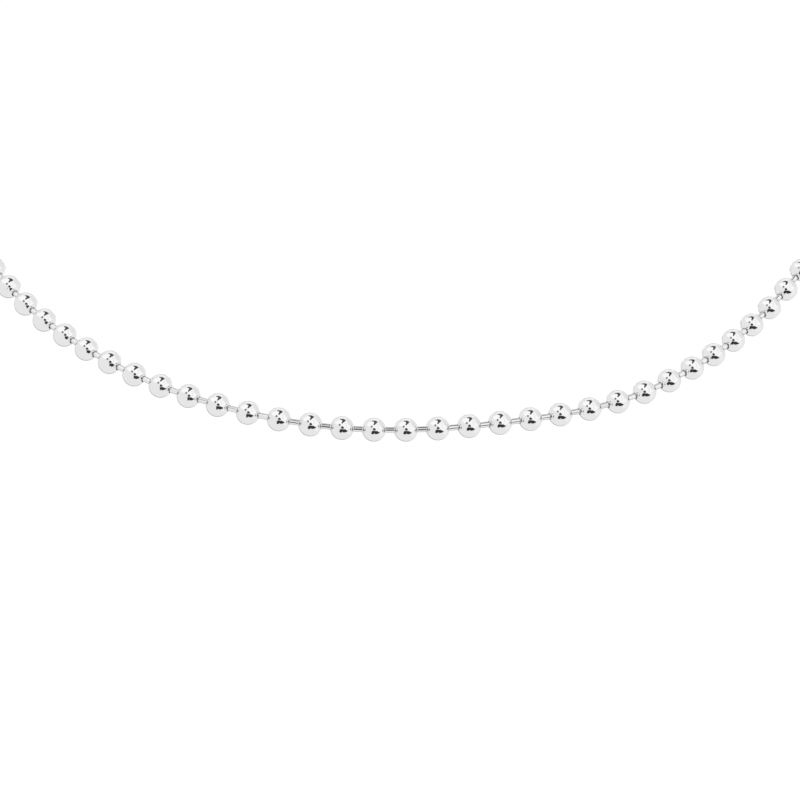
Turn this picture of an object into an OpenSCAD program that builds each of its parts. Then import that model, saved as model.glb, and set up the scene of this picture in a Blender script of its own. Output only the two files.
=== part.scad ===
// Ball chain necklace: hollow drilled balls joined by headed pins, closed at the
// nape by a folded tube connector. Millimetres, +Z up, the front towards -Y.
// The origin is on the nape, where the connector rests against the neck.

/* [Chain] */
// Length of the whole closed loop, to the nearest ball
chain_length = 450; // [400:5:600]
// Diameter of a ball
bead_d = 3; // [2.6:0.1:4]
// Gap between neighbouring balls
bead_gap = 0.9; // [0.7:0.05:1.4]
// Wall of the hollow ball
bead_wall = 0.25; // [0.15:0.01:0.3]

/* [Pins] */
// Diameter of a pin's rod
pin_d = 0.7; // [0.5:0.02:0.8]
// Play between the rod and the hole in the ball, all round
hole_clearance = 0.18; // [0.15:0.01:0.25]
// Lip of the pin's head past the edge of the hole
head_lip = 0.12; // [0.08:0.01:0.2]
// Thickness of the pin's head
head_t = 0.3; // [0.15:0.01:0.35]
// Play between the pin's head and the inside of the ball
head_clearance = 0.12; // [0.1:0.01:0.2]

/* [Connector] */
// Length of the connector
connector_l = 10; // [10:0.1:14]
// Sheet that the connector is folded from
connector_wall = 0.35; // [0.25:0.05:0.5]
// Play between an end ball and the inside of the connector
seat_clearance = 0.15; // [0.12:0.01:0.25]
// Play between a pin and the slit that it leaves the connector through
exit_clearance = 0.35; // [0.3:0.01:0.5]
// Chamfer round the ends of the connector
connector_chamfer = 0.2; // [0.1:0.05:0.2]

/* [Hidden] */
// Where the chain hangs, as chosen points round the neck from the nape and back.
// A smooth closed curve follows them, cuts their corners and is then scaled to the
// chain's own length.
ROUTE_POINTS = [
    // angle from the front, distance from the neck's axis, height over the nape
    [180, 65.5, 0],
    [155, 66.5, -2.5],
    [130, 67.5, -10],
    [105, 68, -22],
    [82, 67.5, -36.5],
    [65, 67.5, -51],
    [50, 68.5, -62],
    [40, 69, -67],
    [30, 70, -71],
    [20, 69.5, -74],
    [10, 68.5, -76],
    [0, 68.5, -76],
    [-10, 67.5, -75.5],
    [-20, 68, -74.5],
    [-30, 67.5, -71],
    [-40, 66.5, -67],
    [-50, 67.5, -59.5],
    [-65, 68.5, -48.5],
    [-82, 68.5, -35.5],
    [-105, 68, -22],
    [-130, 67.5, -10],
    [-155, 66.5, -2.5]
];
// Steps of the curve from one chosen point to the next
ROUTE_STEPS = 24;

// Extra length of a tool that cuts through a face
CUT = 1;

$fn = 48;

pitch = bead_d + bead_gap;
hole_d = pin_d + 2 * hole_clearance;
cavity_d = bead_d - 2 * bead_wall;

// The head's outer rim stays off the inside of the ball
head_d = hole_d + 2 * head_lip;
head_out = sqrt(pow(cavity_d / 2 - head_clearance, 2) - pow(head_d / 2, 2));
head_in = head_out - head_t;

connector_bore = bead_d + 2 * seat_clearance;
connector_d = connector_bore + 2 * connector_wall;
slit_w = pin_d + 2 * exit_clearance;
// From ball to ball inside the connector
connector_span = connector_l - 2 * connector_wall - connector_bore;

bead_count = 1 + round((chain_length - connector_span) / pitch);
loop_length = (bead_count - 1) * pitch + connector_span;

function route_point(row) = [-row[1] * sin(row[0]), -row[1] * cos(row[0]), row[2]];

// Cubic B-spline between points 1 and 2 of four in a row
function spline(p0, p1, p2, p3, t) =
    (pow(1 - t, 3) * p0
     + (3 * pow(t, 3) - 6 * pow(t, 2) + 4) * p1
     + (-3 * pow(t, 3) + 3 * pow(t, 2) + 3 * t + 1) * p2
     + pow(t, 3) * p3) / 6;

function closed_spline(points) =
    let (n = len(points))
    [
        for (k = [0 : n - 1])
        for (step = [0 : ROUTE_STEPS - 1])
        spline(
            points[(k + n - 1) % n], points[k], points[(k + 1) % n], points[(k + 2) % n],
            step / ROUTE_STEPS
        )
    ];

// Length of the closed line from its start to each of its points and back
function running_length(line) =
    let (n = len(line))
    [for (k = 0, s = 0; k <= n; s = s + norm(line[(k + 1) % n] - line[k % n]), k = k + 1) s];

// Number of the stretch of the line that holds the length s
function stretch_at(lengths, s, low, high) =
    high - low <= 1
    ? low
    : let (middle = floor((low + high) / 2))
      lengths[middle] <= s
      ? stretch_at(lengths, s, middle, high)
      : stretch_at(lengths, s, low, middle);

function point_at(line, lengths, s) =
    let (
        n = len(line),
        k = stretch_at(lengths, s, 0, n),
        share = (s - lengths[k]) / (lengths[k + 1] - lengths[k])
    )
    line[k] + share * (line[(k + 1) % n] - line[k]);

rough_route = closed_spline([for (row = ROUTE_POINTS) route_point(row)]);
rough_lengths = running_length(rough_route);
route_scale = loop_length / rough_lengths[len(rough_route)];
route = rough_route * route_scale;
route_lengths = rough_lengths * route_scale;

// Centres of the balls, from one end in the connector round the neck to the other
bead_on_route = [
    for (k = [0 : bead_count - 1])
    point_at(route, route_lengths, connector_span / 2 + k * pitch)
];

// The connector holds the two end balls on its axis, and its side touches the nape
connector_at = [0, connector_d / 2, 0];
end_middle = (bead_on_route[0] + bead_on_route[bead_count - 1]) / 2;
bead_at = [for (place = bead_on_route) place - end_middle + connector_at];

function unit(v) = v / norm(v);

// Each hole points halfway between the pins on its two sides
function bead_direction(k) =
    unit(bead_at[min(k + 1, bead_count - 1)] - bead_at[max(k - 1, 0)]);

function pin_direction(k) = unit(bead_at[k + 1] - bead_at[k]);

// Stands what is made along Z at a place on the chain, pointing along it
module along(place, direction) {
    translate(place)
        rotate([0, acos(direction[2]), atan2(direction[1], direction[0])])
        children();
}

module bead() {
    difference() {
        sphere(d = bead_d);
        sphere(d = cavity_d);
        cylinder(d = hole_d, h = bead_d + CUT, center = true);
    }
}

module beads() {
    color("silver")
    for (k = [0 : bead_count - 1])
        along(bead_at[k], bead_direction(k))
        bead();
}

// A rod with a flat head at each end, from inside one ball to inside the next
module pin(length) {
    translate([0, 0, head_in])
        cylinder(d = pin_d, h = length - 2 * head_in);
    for (z = [head_in, length - head_out])
        translate([0, 0, z])
        cylinder(d = head_d, h = head_t);
}

module pins() {
    color("gainsboro")
    for (k = [0 : bead_count - 2])
        along(bead_at[k], pin_direction(k))
        pin(norm(bead_at[k + 1] - bead_at[k]));
}

module connector_body() {
    middle_l = connector_l - 2 * connector_chamfer;
    cylinder(d = connector_d, h = middle_l, center = true);
    for (side = [0, 1])
        mirror([0, 0, side])
        translate([0, 0, middle_l / 2])
        cylinder(
            d1 = connector_d,
            d2 = connector_d - 2 * connector_chamfer,
            h = connector_chamfer
        );
}

// The end balls go in at the middle of the open side and are drawn to the ends,
// with their pins in the slit
module connector() {
    color("silver")
    along(connector_at, unit(bead_at[bead_count - 1] - bead_at[0]))
    difference() {
        connector_body();
        cylinder(d = connector_bore, h = connector_l - 2 * connector_wall, center = true);
        cylinder(d = slit_w, h = connector_l + CUT, center = true);
        translate([-slit_w / 2, 0, -connector_l / 2 - CUT])
            cube([slit_w, connector_d, connector_l + 2 * CUT]);
        rotate([-90, 0, 0])
            cylinder(d = connector_bore, h = connector_d);
    }
}

beads();
pins();
connector();
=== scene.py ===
"""Ball chain necklace of polished silver, in the form that it has when worn.

One ball, one pin and the connector are modelled here by hand. The ball and the pin are
then copied along the chain, to the places that the frame's own solids have. Metres,
+Z up, the front of the neck towards -Y.
"""
import math

import bmesh
import bpy
from mathutils import Matrix, Vector


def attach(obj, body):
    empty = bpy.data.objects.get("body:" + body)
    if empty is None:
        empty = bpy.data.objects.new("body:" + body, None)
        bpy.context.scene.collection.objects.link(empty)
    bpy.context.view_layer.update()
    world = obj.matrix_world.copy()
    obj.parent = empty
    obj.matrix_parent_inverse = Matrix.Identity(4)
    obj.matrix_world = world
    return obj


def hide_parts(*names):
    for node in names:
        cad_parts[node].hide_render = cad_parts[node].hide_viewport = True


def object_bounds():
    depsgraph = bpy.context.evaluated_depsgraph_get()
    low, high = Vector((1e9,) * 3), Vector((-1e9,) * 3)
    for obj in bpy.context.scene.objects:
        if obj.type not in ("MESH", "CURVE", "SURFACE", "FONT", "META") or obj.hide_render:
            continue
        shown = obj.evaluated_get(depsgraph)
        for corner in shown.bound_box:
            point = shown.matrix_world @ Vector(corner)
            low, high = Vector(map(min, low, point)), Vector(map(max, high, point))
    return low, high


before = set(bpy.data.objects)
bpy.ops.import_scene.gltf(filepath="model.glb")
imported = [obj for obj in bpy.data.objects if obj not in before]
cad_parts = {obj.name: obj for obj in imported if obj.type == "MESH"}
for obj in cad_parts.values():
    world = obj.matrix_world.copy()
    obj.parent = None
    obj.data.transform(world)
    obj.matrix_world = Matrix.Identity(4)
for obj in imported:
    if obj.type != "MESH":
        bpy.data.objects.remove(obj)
cad_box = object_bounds()

MM = 0.001

# Ball
BALL_D = 3.0 * MM
BALL_WALL = 0.25 * MM
BALL_GAP = 0.9 * MM
# The pins nearly fill their holes in the photograph. The CAD's holes are wider, so that its
# solids keep a gap
HOLE_D = 0.86 * MM
LIP_ROUNDING = 0.04 * MM
CAVITY_D = BALL_D - 2 * BALL_WALL
PITCH = BALL_D + BALL_GAP
BALL_SIDES = 30
BALL_RINGS = 18
CAVITY_RINGS = 6

# Pin
PIN_D = 0.7 * MM
HEAD_D = 1.3 * MM
HEAD_T = 0.3 * MM
# Play between the head and the inside of the ball, as in the CAD part
HEAD_CLEARANCE = 0.12 * MM
# From a ball's centre to the side of the head that the rod leaves from
HEAD_FACE = math.sqrt((CAVITY_D / 2 - HEAD_CLEARANCE) ** 2 - (HEAD_D / 2) ** 2)
HEAD_ROUNDING = 0.08 * MM
PIN_SIDES = 20

# Connector
CONNECTOR_L = 10.0 * MM
CONNECTOR_D = 4.0 * MM
CONNECTOR_WALL = 0.35 * MM
CONNECTOR_END_ROUNDING = 0.2 * MM
SLIT_W = 1.4 * MM
CONNECTOR_BORE = CONNECTOR_D - 2 * CONNECTOR_WALL
# Between the centres of the end balls, inside it
CONNECTOR_SPAN = CONNECTOR_L - 2 * CONNECTOR_WALL - CONNECTOR_BORE
EDGE_ROUNDING = 0.06 * MM
CONNECTOR_SIDES = 64
# Extra length of a tool that cuts through a face
CUT = 1.0 * MM

# Edges sharper than this are rounded or kept sharp, in degrees
SHARP_ANGLE = 40

# Camera, at the photograph's angle: degrees, and the place that it is aimed at
CAMERA_AZIMUTH = -5.28
CAMERA_ELEVATION = 12.0
CAMERA_ROLL = -0.73
CAMERA_DISTANCE = 440 * MM
CAMERA_AIM = Vector((-4.86, -127.0, -71.99)) * MM
CAMERA_LENS = 161.7
SENSOR = 36.0
CLIP_START = 0.01
CLIP_END = 100


def deselect():
    if bpy.context.object and bpy.context.object.mode != "OBJECT":
        bpy.ops.object.mode_set(mode="OBJECT")
    bpy.ops.object.select_all(action="DESELECT")


def only(obj):
    """Makes an object the one that the next operator acts on"""
    deselect()
    obj.select_set(True)
    bpy.context.view_layer.objects.active = obj


def edit(obj):
    only(obj)
    bpy.ops.object.mode_set(mode="EDIT")
    bpy.ops.mesh.select_all(action="DESELECT")


def done():
    bpy.ops.object.mode_set(mode="OBJECT")


def pick(kind, test):
    """In edit mode, selects the vertices, edges or faces whose every corner passes the test"""
    modes = ("VERT", "EDGE", "FACE")
    bpy.context.tool_settings.mesh_select_mode = [mode == kind for mode in modes]
    mesh = bmesh.from_edit_mesh(bpy.context.object.data)
    mesh.select_mode = {kind}
    for vert in mesh.verts:
        vert.select = False
    for edge in mesh.edges:
        edge.select = False
    for face in mesh.faces:
        face.select = False
    if kind == "VERT":
        chosen = [vert for vert in mesh.verts if test(vert.co)]
    elif kind == "EDGE":
        chosen = [edge for edge in mesh.edges if all(test(vert.co) for vert in edge.verts)]
    else:
        chosen = [face for face in mesh.faces if all(test(vert.co) for vert in face.verts)]
    for item in chosen:
        item.select_set(True)
    mesh.select_flush_mode()
    bmesh.update_edit_mesh(bpy.context.object.data)


def place_in_mesh(obj):
    only(obj)
    bpy.ops.object.transform_apply(location=True, rotation=True, scale=True)


def turn_along(direction):
    """Turns what is modelled along Z to point along the chain, as in the CAD part"""
    tilt = Matrix.Rotation(math.acos(direction.z), 4, "Y")
    return Matrix.Rotation(math.atan2(direction.y, direction.x), 4, "Z") @ tilt


def cut_holes(sphere_d):
    """Opens the sphere at both ends of its axis, as wide as the hole"""
    height = math.sqrt((sphere_d / 2) ** 2 - (HOLE_D / 2) ** 2)
    tiny = BALL_WALL / 1000
    for end in (1, -1):
        pick("FACE", lambda co: abs(co.length - sphere_d / 2) < BALL_WALL / 2)
        bpy.ops.mesh.bisect(
            plane_co=(0, 0, end * height), plane_no=(0, 0, end), clear_outer=True, threshold=tiny
        )
        pick("EDGE", lambda co: abs(end * co.z - height) < tiny)
        mesh = bmesh.from_edit_mesh(bpy.context.object.data)
        cut_radius = max(math.hypot(vert.co.x, vert.co.y) for vert in mesh.verts if vert.select)
        widening = HOLE_D / 2 / cut_radius
        bpy.ops.transform.resize(value=(widening, widening, 1))
    return height


def mark_inside(obj, test):
    """Marks the corners that the polishing doesn't reach"""
    marks = obj.data.attributes.new("inside", "FLOAT", "POINT")
    for mark, vert in zip(marks.data, obj.data.vertices):
        mark.value = 1.0 if test(vert.co) else 0.0


def model_ball():
    deselect()
    bpy.ops.mesh.primitive_uv_sphere_add(
        segments=BALL_SIDES, ring_count=BALL_RINGS, radius=BALL_D / 2
    )
    ball = bpy.context.object
    edit(ball)
    lip_z = cut_holes(BALL_D)
    # The cavity, turned to face inwards
    bpy.ops.mesh.select_all(action="DESELECT")
    bpy.ops.mesh.primitive_uv_sphere_add(
        segments=BALL_SIDES, ring_count=CAVITY_RINGS, radius=CAVITY_D / 2
    )
    rim_z = cut_holes(CAVITY_D)
    pick("FACE", lambda co: co.length < BALL_D / 2 - BALL_WALL / 2)
    bpy.ops.mesh.flip_normals()
    # The walls of both holes, and their rounded lips
    near = BALL_WALL / 20
    for end in (1, -1):
        pick("EDGE", lambda co: min(abs(end * co.z - lip_z), abs(end * co.z - rim_z)) < near
             and abs(math.hypot(co.x, co.y) - HOLE_D / 2) < near)
        bpy.ops.mesh.bridge_edge_loops()
    pick("EDGE", lambda co: abs(abs(co.z) - lip_z) < near)
    bpy.ops.mesh.bevel(offset=LIP_ROUNDING, segments=2, affect="EDGES")
    done()
    mark_inside(ball, lambda co: co.length < BALL_D / 2 - LIP_ROUNDING / 2)
    return ball


def model_pin():
    rod_half = PITCH / 2 - HEAD_FACE
    deselect()
    bpy.ops.mesh.primitive_cylinder_add(
        vertices=PIN_SIDES, radius=PIN_D / 2, depth=2 * rod_half, end_fill_type="NGON"
    )
    pin = bpy.context.object
    edit(pin)
    near = PIN_D / 50
    # A flat head grows out of each end of the rod
    for end in (1, -1):
        pick("FACE", lambda co: abs(end * co.z - rod_half) < near)
        bpy.ops.mesh.extrude_region_move()
        bpy.ops.transform.resize(value=(HEAD_D / PIN_D, HEAD_D / PIN_D, 1))
        bpy.ops.mesh.extrude_region_move(
            TRANSFORM_OT_translate={"value": (0, 0, end * HEAD_T)}
        )
    # Rounds the rims of the heads, not the edges along their sides
    pick("EDGE", lambda co: abs(math.hypot(co.x, co.y) - HEAD_D / 2) < near)
    rims = bmesh.from_edit_mesh(pin.data)
    for edge in rims.edges:
        if abs(edge.verts[0].co.z - edge.verts[1].co.z) > near:
            edge.select_set(False)
    bmesh.update_edit_mesh(pin.data)
    bpy.ops.mesh.bevel(offset=HEAD_ROUNDING, segments=2, affect="EDGES")
    done()
    return pin


def add_cutter(vertices, radius, depth, rotation=(0, 0, 0), location=(0, 0, 0)):
    deselect()
    bpy.ops.mesh.primitive_cylinder_add(
        vertices=vertices, radius=radius, depth=depth, rotation=rotation, location=location
    )
    return bpy.context.object


def cut_away(obj, cutter):
    only(obj)
    bpy.ops.object.modifier_add(type="BOOLEAN")
    modifier = obj.modifiers[-1]
    modifier.operation = "DIFFERENCE"
    modifier.solver = "EXACT"
    modifier.object = cutter
    bpy.ops.object.modifier_apply(modifier=modifier.name)
    bpy.data.objects.remove(cutter)


def model_connector():
    deselect()
    bpy.ops.mesh.primitive_cylinder_add(
        vertices=CONNECTOR_SIDES, radius=CONNECTOR_D / 2, depth=CONNECTOR_L
    )
    tube = bpy.context.object
    edit(tube)
    near = CONNECTOR_WALL / 20
    for end in (1, -1):
        pick("EDGE", lambda co: abs(end * co.z - CONNECTOR_L / 2) < near)
        bpy.ops.mesh.bevel(offset=CONNECTOR_END_ROUNDING, segments=4, affect="EDGES")
    done()
    # The bore, and an opening in each end for a pin
    inner_l = CONNECTOR_L - 2 * CONNECTOR_WALL
    cut_away(tube, add_cutter(CONNECTOR_SIDES, CONNECTOR_BORE / 2, inner_l))
    cut_away(tube, add_cutter(PIN_SIDES, SLIT_W / 2, CONNECTOR_L + CUT))
    # The slit along the outer side
    deselect()
    bpy.ops.mesh.primitive_cube_add(size=1, location=(0, CONNECTOR_D / 2, 0))
    slit = bpy.context.object
    slit.scale = (SLIT_W, CONNECTOR_D, CONNECTOR_L + CUT)
    place_in_mesh(slit)
    cut_away(tube, slit)
    # The round opening at the middle, where the end balls go in
    cut_away(
        tube,
        add_cutter(
            CONNECTOR_SIDES, CONNECTOR_BORE / 2, CONNECTOR_D,
            rotation=(math.pi / 2, 0, 0), location=(0, CONNECTOR_D / 2, 0),
        ),
    )
    only(tube)
    bpy.ops.object.modifier_add(type="BEVEL")
    rounding = tube.modifiers[-1]
    rounding.width = EDGE_ROUNDING
    rounding.segments = 2
    rounding.limit_method = "ANGLE"
    rounding.angle_limit = math.radians(SHARP_ANGLE)
    bpy.ops.object.modifier_apply(modifier=rounding.name)
    return tube


def ball_places():
    """Centres of the frame's balls, in order from the end ball on the left in the connector"""
    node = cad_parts["beads"]
    spare = node.copy()
    spare.data = node.data.copy()
    spare.parent = None
    bpy.context.collection.objects.link(spare)
    edit(spare)
    bpy.ops.mesh.select_all(action="SELECT")
    bpy.ops.mesh.remove_doubles(threshold=BALL_WALL / 1000)
    bpy.ops.mesh.separate(type="LOOSE")
    done()
    bpy.ops.object.origin_set(type="ORIGIN_CENTER_OF_MASS")
    solids = list(bpy.context.selected_objects)
    centres = [solid.matrix_world.translation.copy() for solid in solids]
    for solid in solids:
        bpy.data.objects.remove(solid)
    ordered = []
    at = Vector((-CONNECTOR_SPAN / 2, CONNECTOR_D / 2, 0))
    while centres:
        at = min(centres, key=lambda centre: (centre - at).length)
        centres.remove(at)
        ordered.append(at)
    return ordered


def along_chain(model, name, steps):
    """Copies a model to each place and direction of the chain and joins the copies"""
    copies = []
    for place, direction in steps:
        copy = model.copy()
        copy.data = model.data.copy()
        copy.data.transform(Matrix.Translation(place) @ turn_along(direction))
        bpy.context.collection.objects.link(copy)
        copies.append(copy)
    bpy.data.objects.remove(model)
    deselect()
    for copy in copies:
        copy.select_set(True)
    bpy.context.view_layer.objects.active = copies[0]
    bpy.ops.object.join()
    piece = bpy.context.object
    piece.name = name
    return piece


def finish_piece(piece, node, material):
    only(piece)
    bpy.ops.object.shade_smooth_by_angle(angle=math.radians(SHARP_ANGLE))
    piece.data.materials.clear()
    piece.data.materials.append(material)
    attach(piece, "root")
    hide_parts(node)


# Metals

# Inside a ball, where the polishing doesn't reach
UNPOLISHED = (0.9, 0.9, 0.9)
UNPOLISHED_ROUGHNESS = 0.9
# The duller grain is this share as bright as the rest
DULL_SHARE = 0.97
# A noise lies between these nearly everywhere
NOISE_LOW = 0.3
NOISE_HIGH = 0.7


def metal(name, brightness, edge, roughness, grain, wave, wave_depth):
    """Polished metal with slight unevenness: waves tilt it, and a fine grain dulls it.

    edge is how much it still mirrors where it is seen edge-on. roughness is its least and
    greatest. grain and wave are how many of each a metre holds.
    """
    material = bpy.data.materials.new(name)
    material.use_nodes = True
    nodes = material.node_tree.nodes
    links = material.node_tree.links
    shader = nodes["Principled BSDF"]
    shader.inputs["Metallic"].default_value = 1.0
    # Below 1, edge darkens the metal where it is seen edge-on: a painted shade along its outline
    shader.inputs["Specular Tint"].default_value = (edge, edge, edge, 1.0)
    place = nodes.new("ShaderNodeTexCoord")

    dulling = nodes.new("ShaderNodeTexNoise")
    dulling.inputs["Scale"].default_value = grain
    dulling.inputs["Detail"].default_value = 4.0
    links.new(place.outputs["Object"], dulling.inputs["Vector"])
    dullness = nodes.new("ShaderNodeMapRange")
    dullness.inputs["From Min"].default_value = NOISE_LOW
    dullness.inputs["From Max"].default_value = NOISE_HIGH
    dullness.inputs["To Min"].default_value = roughness[0]
    dullness.inputs["To Max"].default_value = roughness[1]
    links.new(dulling.outputs["Fac"], dullness.inputs["Value"])
    inside = nodes.new("ShaderNodeAttribute")
    inside.attribute_name = "inside"
    dull_inside = nodes.new("ShaderNodeMix")
    dull_inside.inputs["B"].default_value = UNPOLISHED_ROUGHNESS
    links.new(inside.outputs["Fac"], dull_inside.inputs["Factor"])
    links.new(dullness.outputs["Result"], dull_inside.inputs["A"])
    links.new(dull_inside.outputs["Result"], shader.inputs["Roughness"])

    tint = nodes.new("ShaderNodeMix")
    tint.data_type = "RGBA"
    tint.inputs["A"].default_value = (brightness, brightness, brightness, 1.0)
    dull = brightness * DULL_SHARE
    tint.inputs["B"].default_value = (dull, dull, dull, 1.0)
    links.new(dulling.outputs["Fac"], tint.inputs["Factor"])
    tint_inside = nodes.new("ShaderNodeMix")
    tint_inside.data_type = "RGBA"
    tint_inside.inputs["B"].default_value = (*UNPOLISHED, 1.0)
    links.new(inside.outputs["Fac"], tint_inside.inputs["Factor"])
    links.new(tint.outputs["Result"], tint_inside.inputs["A"])
    links.new(tint_inside.outputs["Result"], shader.inputs["Base Color"])

    waves = nodes.new("ShaderNodeTexNoise")
    waves.inputs["Scale"].default_value = wave
    waves.inputs["Detail"].default_value = 1.0
    links.new(place.outputs["Object"], waves.inputs["Vector"])
    bump = nodes.new("ShaderNodeBump")
    bump.inputs["Strength"].default_value = 1.0
    bump.inputs["Distance"].default_value = wave_depth
    links.new(waves.outputs["Fac"], bump.inputs["Height"])
    links.new(bump.outputs["Normal"], shader.inputs["Normal"])
    return material


# Studio

TENT_RADIUS = 1.8
TENT_GREY = 0.865
TENT_SIDES = 48
FLOOR_DROP = 45 * MM
FLOOR_SIZE = 12.0
FLOOR_GREY = 0.86
FLOOR_GLOW = 0.18
# The surround is darkest at its lower left: how far that way it starts and ends to fade
FADE_DIRECTION = (-0.64, 0.0, -0.77)
FADE_FROM = 0.2
FADE_TO = 0.8
# Places on a card's outline from one of its corners to the next
ROUNDING_STEPS = 4


def glow(name, strength, fade_to=None):
    """A glowing surface. With fade_to, it fades to that strength towards the lower left"""
    material = bpy.data.materials.new(name)
    material.use_nodes = True
    nodes = material.node_tree.nodes
    links = material.node_tree.links
    nodes.remove(nodes["Principled BSDF"])
    emission = nodes.new("ShaderNodeEmission")
    emission.inputs["Strength"].default_value = strength
    links.new(emission.outputs["Emission"], nodes["Material Output"].inputs["Surface"])
    material.cycles.emission_sampling = "NONE"
    if fade_to is not None:
        place = nodes.new("ShaderNodeTexCoord")
        towards = nodes.new("ShaderNodeVectorMath")
        towards.operation = "DOT_PRODUCT"
        towards.inputs[1].default_value = FADE_DIRECTION
        links.new(place.outputs["Object"], towards.inputs[0])
        fade = nodes.new("ShaderNodeMapRange")
        fade.inputs["From Min"].default_value = FADE_FROM
        fade.inputs["From Max"].default_value = FADE_TO
        fade.inputs["To Min"].default_value = strength
        fade.inputs["To Max"].default_value = fade_to
        links.new(towards.outputs["Value"], fade.inputs["Value"])
        links.new(fade.outputs["Result"], emission.inputs["Strength"])
    return material


def show_in_metal_only(obj):
    """The metal mirrors it, and nothing else in the scene sees it"""
    obj.visible_camera = False
    obj.visible_diffuse = False
    obj.visible_transmission = False
    obj.visible_volume_scatter = False
    obj.visible_shadow = False


def camera_axes():
    """Right, up and back of the camera before its roll"""
    azimuth = math.radians(CAMERA_AZIMUTH)
    elevation = math.radians(CAMERA_ELEVATION)
    back = Vector((
        math.sin(azimuth) * math.cos(elevation),
        -math.cos(azimuth) * math.cos(elevation),
        math.sin(elevation),
    ))
    right = (-back).cross(Vector((0, 0, 1))).normalized()
    return right, right.cross(-back), back


def mirrored_place(across, up, distance):
    """Place that a ball at the camera's aim mirrors at a point of its face.

    across and up are that point, in shares of the ball's radius. distance is from the ball.
    """
    right, top, back = camera_axes()
    facing = math.sqrt(1 - across ** 2 - up ** 2)
    normal = across * right + up * top + facing * back
    return CAMERA_AIM + distance * (2 * facing * normal - back)


def rounded(corners):
    """A smooth closed outline through the corners"""
    corners = [Vector(corner) for corner in corners]
    outline = []
    for k in range(len(corners)):
        before, start, end, after = (corners[(k + step) % len(corners)] for step in (-1, 0, 1, 2))
        for step in range(ROUNDING_STEPS):
            t = step / ROUNDING_STEPS
            outline.append((
                2 * start
                + t * (end - before)
                + t ** 2 * (2 * before - 5 * start + 4 * end - after)
                + t ** 3 * (3 * start - 3 * end + after - before)
            ) / 2)
    return outline


def mirrored(corners, distance=None):
    """A smooth outline whose corners are seen on a ball's face.

    A corner is its across and up, and also its own distance where the outline has none.
    """
    if distance is not None:
        corners = [(across, up, distance) for across, up in corners]
    return [mirrored_place(*row) for row in rounded(corners)]


def hang_card(name, outline, strength, fade_to=None):
    """Hangs a glowing card for the metal to mirror"""
    deselect()
    bpy.ops.mesh.primitive_circle_add(vertices=len(outline), fill_type="NGON")
    card = bpy.context.object
    card.name = name
    for vert, place in zip(card.data.vertices, outline):
        vert.co = place
    card.data.materials.append(glow(name, strength, fade_to))
    show_in_metal_only(card)
    return card


def add_tent():
    deselect()
    bpy.ops.mesh.primitive_uv_sphere_add(
        segments=TENT_SIDES, ring_count=TENT_SIDES // 2, radius=TENT_RADIUS
    )
    tent = bpy.context.object
    tent.name = "tent"
    tent.data.materials.append(glow("tent_cloth", TENT_GREY))
    show_in_metal_only(tent)


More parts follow.
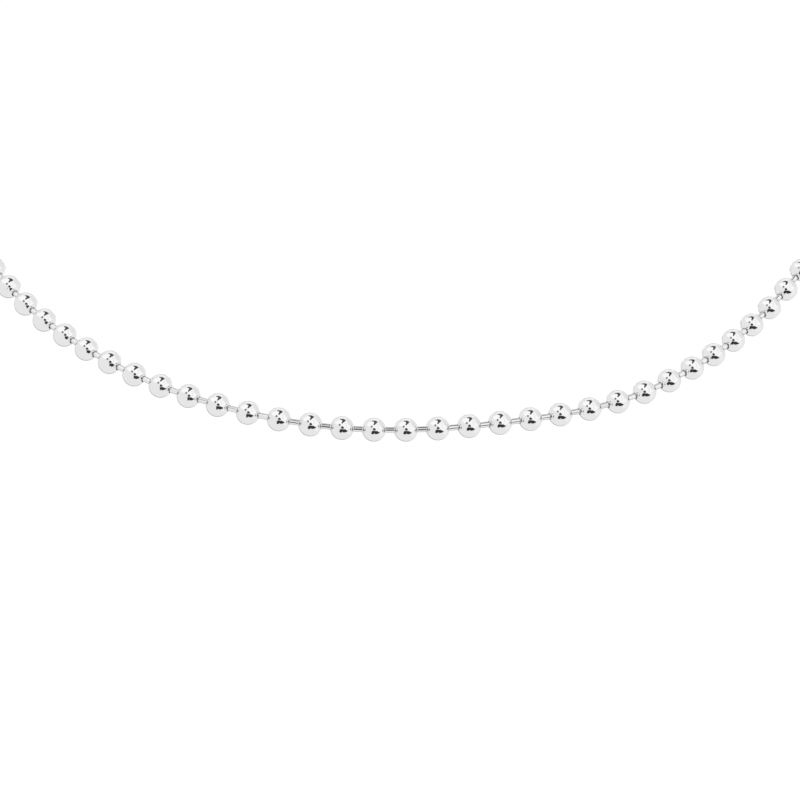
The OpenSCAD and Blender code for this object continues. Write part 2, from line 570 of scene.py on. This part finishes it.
def add_cards():
    hang_card("left_lamp", mirrored([
        (-0.57, 0.43), (-0.55, 0.53), (-0.46, 0.60), (-0.30, 0.65), (-0.20, 0.72),
        (-0.06, 0.72), (0.06, 0.66), (0.06, 0.50), (0.02, 0.36), (-0.04, 0.16), (-0.12, 0.20),
        (-0.28, 0.29), (-0.38, 0.27), (-0.49, 0.34),
    ], distance=1.2), strength=1.04)
    hang_card("right_lamp", mirrored([
        (0.0, 0.42), (0.10, 0.46), (0.22, 0.55), (0.34, 0.57), (0.42, 0.46), (0.50, 0.32),
        (0.60, 0.20), (0.72, 0.12), (0.66, 0.02), (0.52, -0.10), (0.42, -0.15), (0.28, -0.08),
        (0.12, -0.02), (0.04, 0.12), (0.0, 0.28),
    ], distance=1.1), strength=1.02)
    hang_card("lamp_seam", mirrored([
        (0.22, 0.45), (0.31, 0.47), (0.38, 0.32), (0.40, 0.12), (0.35, 0.02), (0.28, 0.04),
        (0.30, 0.22),
    ], distance=0.7), strength=0.92)
    hang_card("side_wall", mirrored([
        (0.42, 0.82), (0.44, 0.56), (0.55, 0.36), (0.66, 0.20), (0.78, 0.22), (0.82, 0.36),
        (0.76, 0.56), (0.62, 0.72),
    ], distance=1.2), strength=0.83)
    hang_card("side_glow", mirrored([
        (0.50, -0.18), (0.62, -0.08), (0.78, -0.08), (0.77, -0.30), (0.64, -0.48),
        (0.50, -0.55), (0.40, -0.47), (0.42, -0.34),
    ], distance=1.2), strength=0.93)
    hang_card("rear_lamp", mirrored([
        (-0.26, 0.80), (-0.08, 0.83), (0.14, 0.83), (0.32, 0.77), (0.42, 0.78), (0.30, 0.85),
        (0.05, 0.89), (-0.20, 0.87),
    ], distance=1.0), strength=1.05)
    hang_card("surround", mirrored([
        (-0.91, 0.0), (-0.875, -0.26), (-0.68, -0.60), (-0.385, -0.82), (0.0, -0.905),
        (0.40, -0.81), (0.66, -0.64), (0.92, -0.10), (0.88, 0.30), (0.65, 0.66), (0.30, 0.865),
        (0.0, 0.915), (-0.40, 0.84), (-0.76, 0.55),
    ], distance=0.9), strength=0.84, fade_to=0.38)
    hang_card("top_shade", mirrored([
        (-0.45, 0.81), (-0.25, 0.88), (0.0, 0.91), (0.22, 0.885), (0.40, 0.83), (0.40, 0.87),
        (0.22, 0.945), (0.0, 0.975), (-0.25, 0.94), (-0.45, 0.85),
    ], distance=0.6), strength=0.72)
    hang_card("backdrop", mirrored([
        (-0.97, 0.0), (-0.93, -0.27), (-0.75, -0.62), (-0.43, -0.87), (0.0, -0.965),
        (0.41, -0.875), (0.68, -0.69), (0.96, -0.12), (0.91, 0.33), (0.68, 0.69), (0.33, 0.91),
        (0.0, 0.965), (-0.43, 0.865), (-0.79, 0.56),
    ], distance=0.5), strength=1.0)
    # Behind the nape, for the chain's back to mirror
    hang_card("rear_lens", rounded([
        Vector((-18, 200, -22)) * MM, Vector((0, 200, -12)) * MM, Vector((18, 200, -22)) * MM,
        Vector((0, 200, -34)) * MM,
    ]), strength=0.3)
    hang_card("rear_stand", rounded([
        Vector((-80, 200, -95)) * MM, Vector((-40, 200, -70)) * MM, Vector((0, 200, -76)) * MM,
        Vector((30, 200, -70)) * MM, Vector((70, 200, -92)) * MM, Vector((40, 200, -120)) * MM,
        Vector((-10, 200, -112)) * MM, Vector((-50, 200, -122)) * MM,
    ]), strength=0.25)
    hang_card("top_gap", mirrored([
        (-0.19, 0.73, 0.26), (0.0, 0.75, 0.26), (0.145, 0.73, 0.26), (0.275, 0.65, 0.27),
        (0.245, 0.56, 0.3), (0.125, 0.47, 0.6), (0.04, 0.38, 0.9), (-0.04, 0.39, 0.9),
        (-0.02, 0.49, 0.7), (0.025, 0.595, 0.5), (-0.045, 0.66, 0.36), (-0.16, 0.685, 0.28),
    ]), strength=0.065)
    hang_card("small_spot", mirrored([
        (-0.28, 0.27), (-0.24, 0.34), (-0.14, 0.34), (-0.10, 0.26), (-0.15, 0.19),
        (-0.24, 0.19),
    ], distance=0.34), strength=0.22)
    hang_card("lens", mirrored([
        (-0.08, 0.06), (-0.03, 0.14), (0.06, 0.14), (0.13, 0.07), (0.15, -0.02), (0.06, -0.05),
        (-0.06, -0.04),
    ], distance=0.3), strength=0.06)
    hang_card("stand", mirrored([
        (-0.14, -0.09, 0.5), (-0.20, -0.20, 0.5), (-0.22, -0.32, 0.5), (-0.10, -0.37, 0.5),
        (0.0, -0.33, 0.5), (0.04, -0.29, 0.5), (0.10, -0.36, 0.5), (0.26, -0.35, 0.7),
        (0.39, -0.30, 1.0), (0.47, -0.23, 1.2), (0.34, -0.16, 0.8), (0.25, -0.10, 0.6),
        (0.14, -0.10, 0.5), (0.0, -0.08, 0.5),
    ]), strength=0.035)
    hang_card("near_flag", mirrored([
        (-0.28, 0.02), (-0.26, -0.12), (-0.27, -0.26), (-0.30, -0.42), (-0.45, -0.46),
        (-0.62, -0.42), (-0.60, -0.16), (-0.42, 0.02),
    ], distance=0.07), strength=TENT_GREY)


def add_floor():
    deselect()
    bpy.ops.mesh.primitive_plane_add(
        size=FLOOR_SIZE, location=(0, 0, cad_box[0].z - FLOOR_DROP)
    )
    floor = bpy.context.object
    floor.name = "floor"
    material = bpy.data.materials.new("pale_floor")
    material.use_nodes = True
    shader = material.node_tree.nodes["Principled BSDF"]
    shader.inputs["Base Color"].default_value = (FLOOR_GREY, FLOOR_GREY, FLOOR_GREY, 1.0)
    shader.inputs["Roughness"].default_value = 0.9
    shader.inputs["Specular IOR Level"].default_value = 0.0
    shader.inputs["Emission Color"].default_value = (1.0, 1.0, 1.0, 1.0)
    shader.inputs["Emission Strength"].default_value = FLOOR_GLOW
    floor.data.materials.append(material)
    floor.visible_glossy = False


def add_world():
    world = bpy.data.worlds.new("studio")
    world.use_nodes = True
    background = world.node_tree.nodes["Background"]
    background.inputs["Color"].default_value = (1.0, 1.0, 1.0, 1.0)
    background.inputs["Strength"].default_value = 1.0
    scene = bpy.context.scene
    scene.world = world
    scene.view_settings.view_transform = "Standard"


def add_camera():
    right, top, back = camera_axes()
    camera = bpy.data.objects.new("camera", bpy.data.cameras.new("camera"))
    bpy.context.collection.objects.link(camera)
    camera.data.lens = CAMERA_LENS
    camera.data.sensor_width = SENSOR
    camera.data.clip_start = CLIP_START
    camera.data.clip_end = CLIP_END
    turned = Matrix((right, top, back)).transposed().to_4x4()
    roll = Matrix.Rotation(math.radians(CAMERA_ROLL), 4, "Z")
    camera.matrix_world = Matrix.Translation(CAMERA_AIM + CAMERA_DISTANCE * back) @ turned @ roll
    bpy.context.scene.camera = camera


polished_silver = metal(
    "polished_silver", brightness=0.93, edge=1.0, roughness=(0.03, 0.07),
    grain=900, wave=420, wave_depth=0.02 * MM,
)
# The pins' low edge paints dark lines along their outlines, a painted shade
pin_silver = metal(
    "pin_silver", brightness=0.9, edge=0.2, roughness=(0.05, 0.10),
    grain=1500, wave=900, wave_depth=0.004 * MM,
)
connector_silver = metal(
    "connector_silver", brightness=0.92, edge=0.8, roughness=(0.05, 0.12),
    grain=700, wave=300, wave_depth=0.01 * MM,
)

# A ball points halfway between the pins on its two sides, and a pin to the next ball
places = ball_places()
last = len(places) - 1
ball_steps = [
    (place, (places[min(k + 1, last)] - places[max(k - 1, 0)]).normalized())
    for k, place in enumerate(places)
]
pin_steps = [
    ((start + end) / 2, (end - start).normalized())
    for start, end in zip(places, places[1:])
]

balls = along_chain(model_ball(), "ball_beads", ball_steps)
finish_piece(balls, "beads", polished_silver)

pins = along_chain(model_pin(), "link_pins", pin_steps)
finish_piece(pins, "pins", pin_silver)

connector = model_connector()
connector.data.transform(
    Matrix.Translation((places[0] + places[-1]) / 2)
    @ turn_along((places[-1] - places[0]).normalized())
)
connector.name = "tube_connector"
finish_piece(connector, "connector", connector_silver)

add_world()
add_floor()
add_tent()
add_cards()
add_camera()
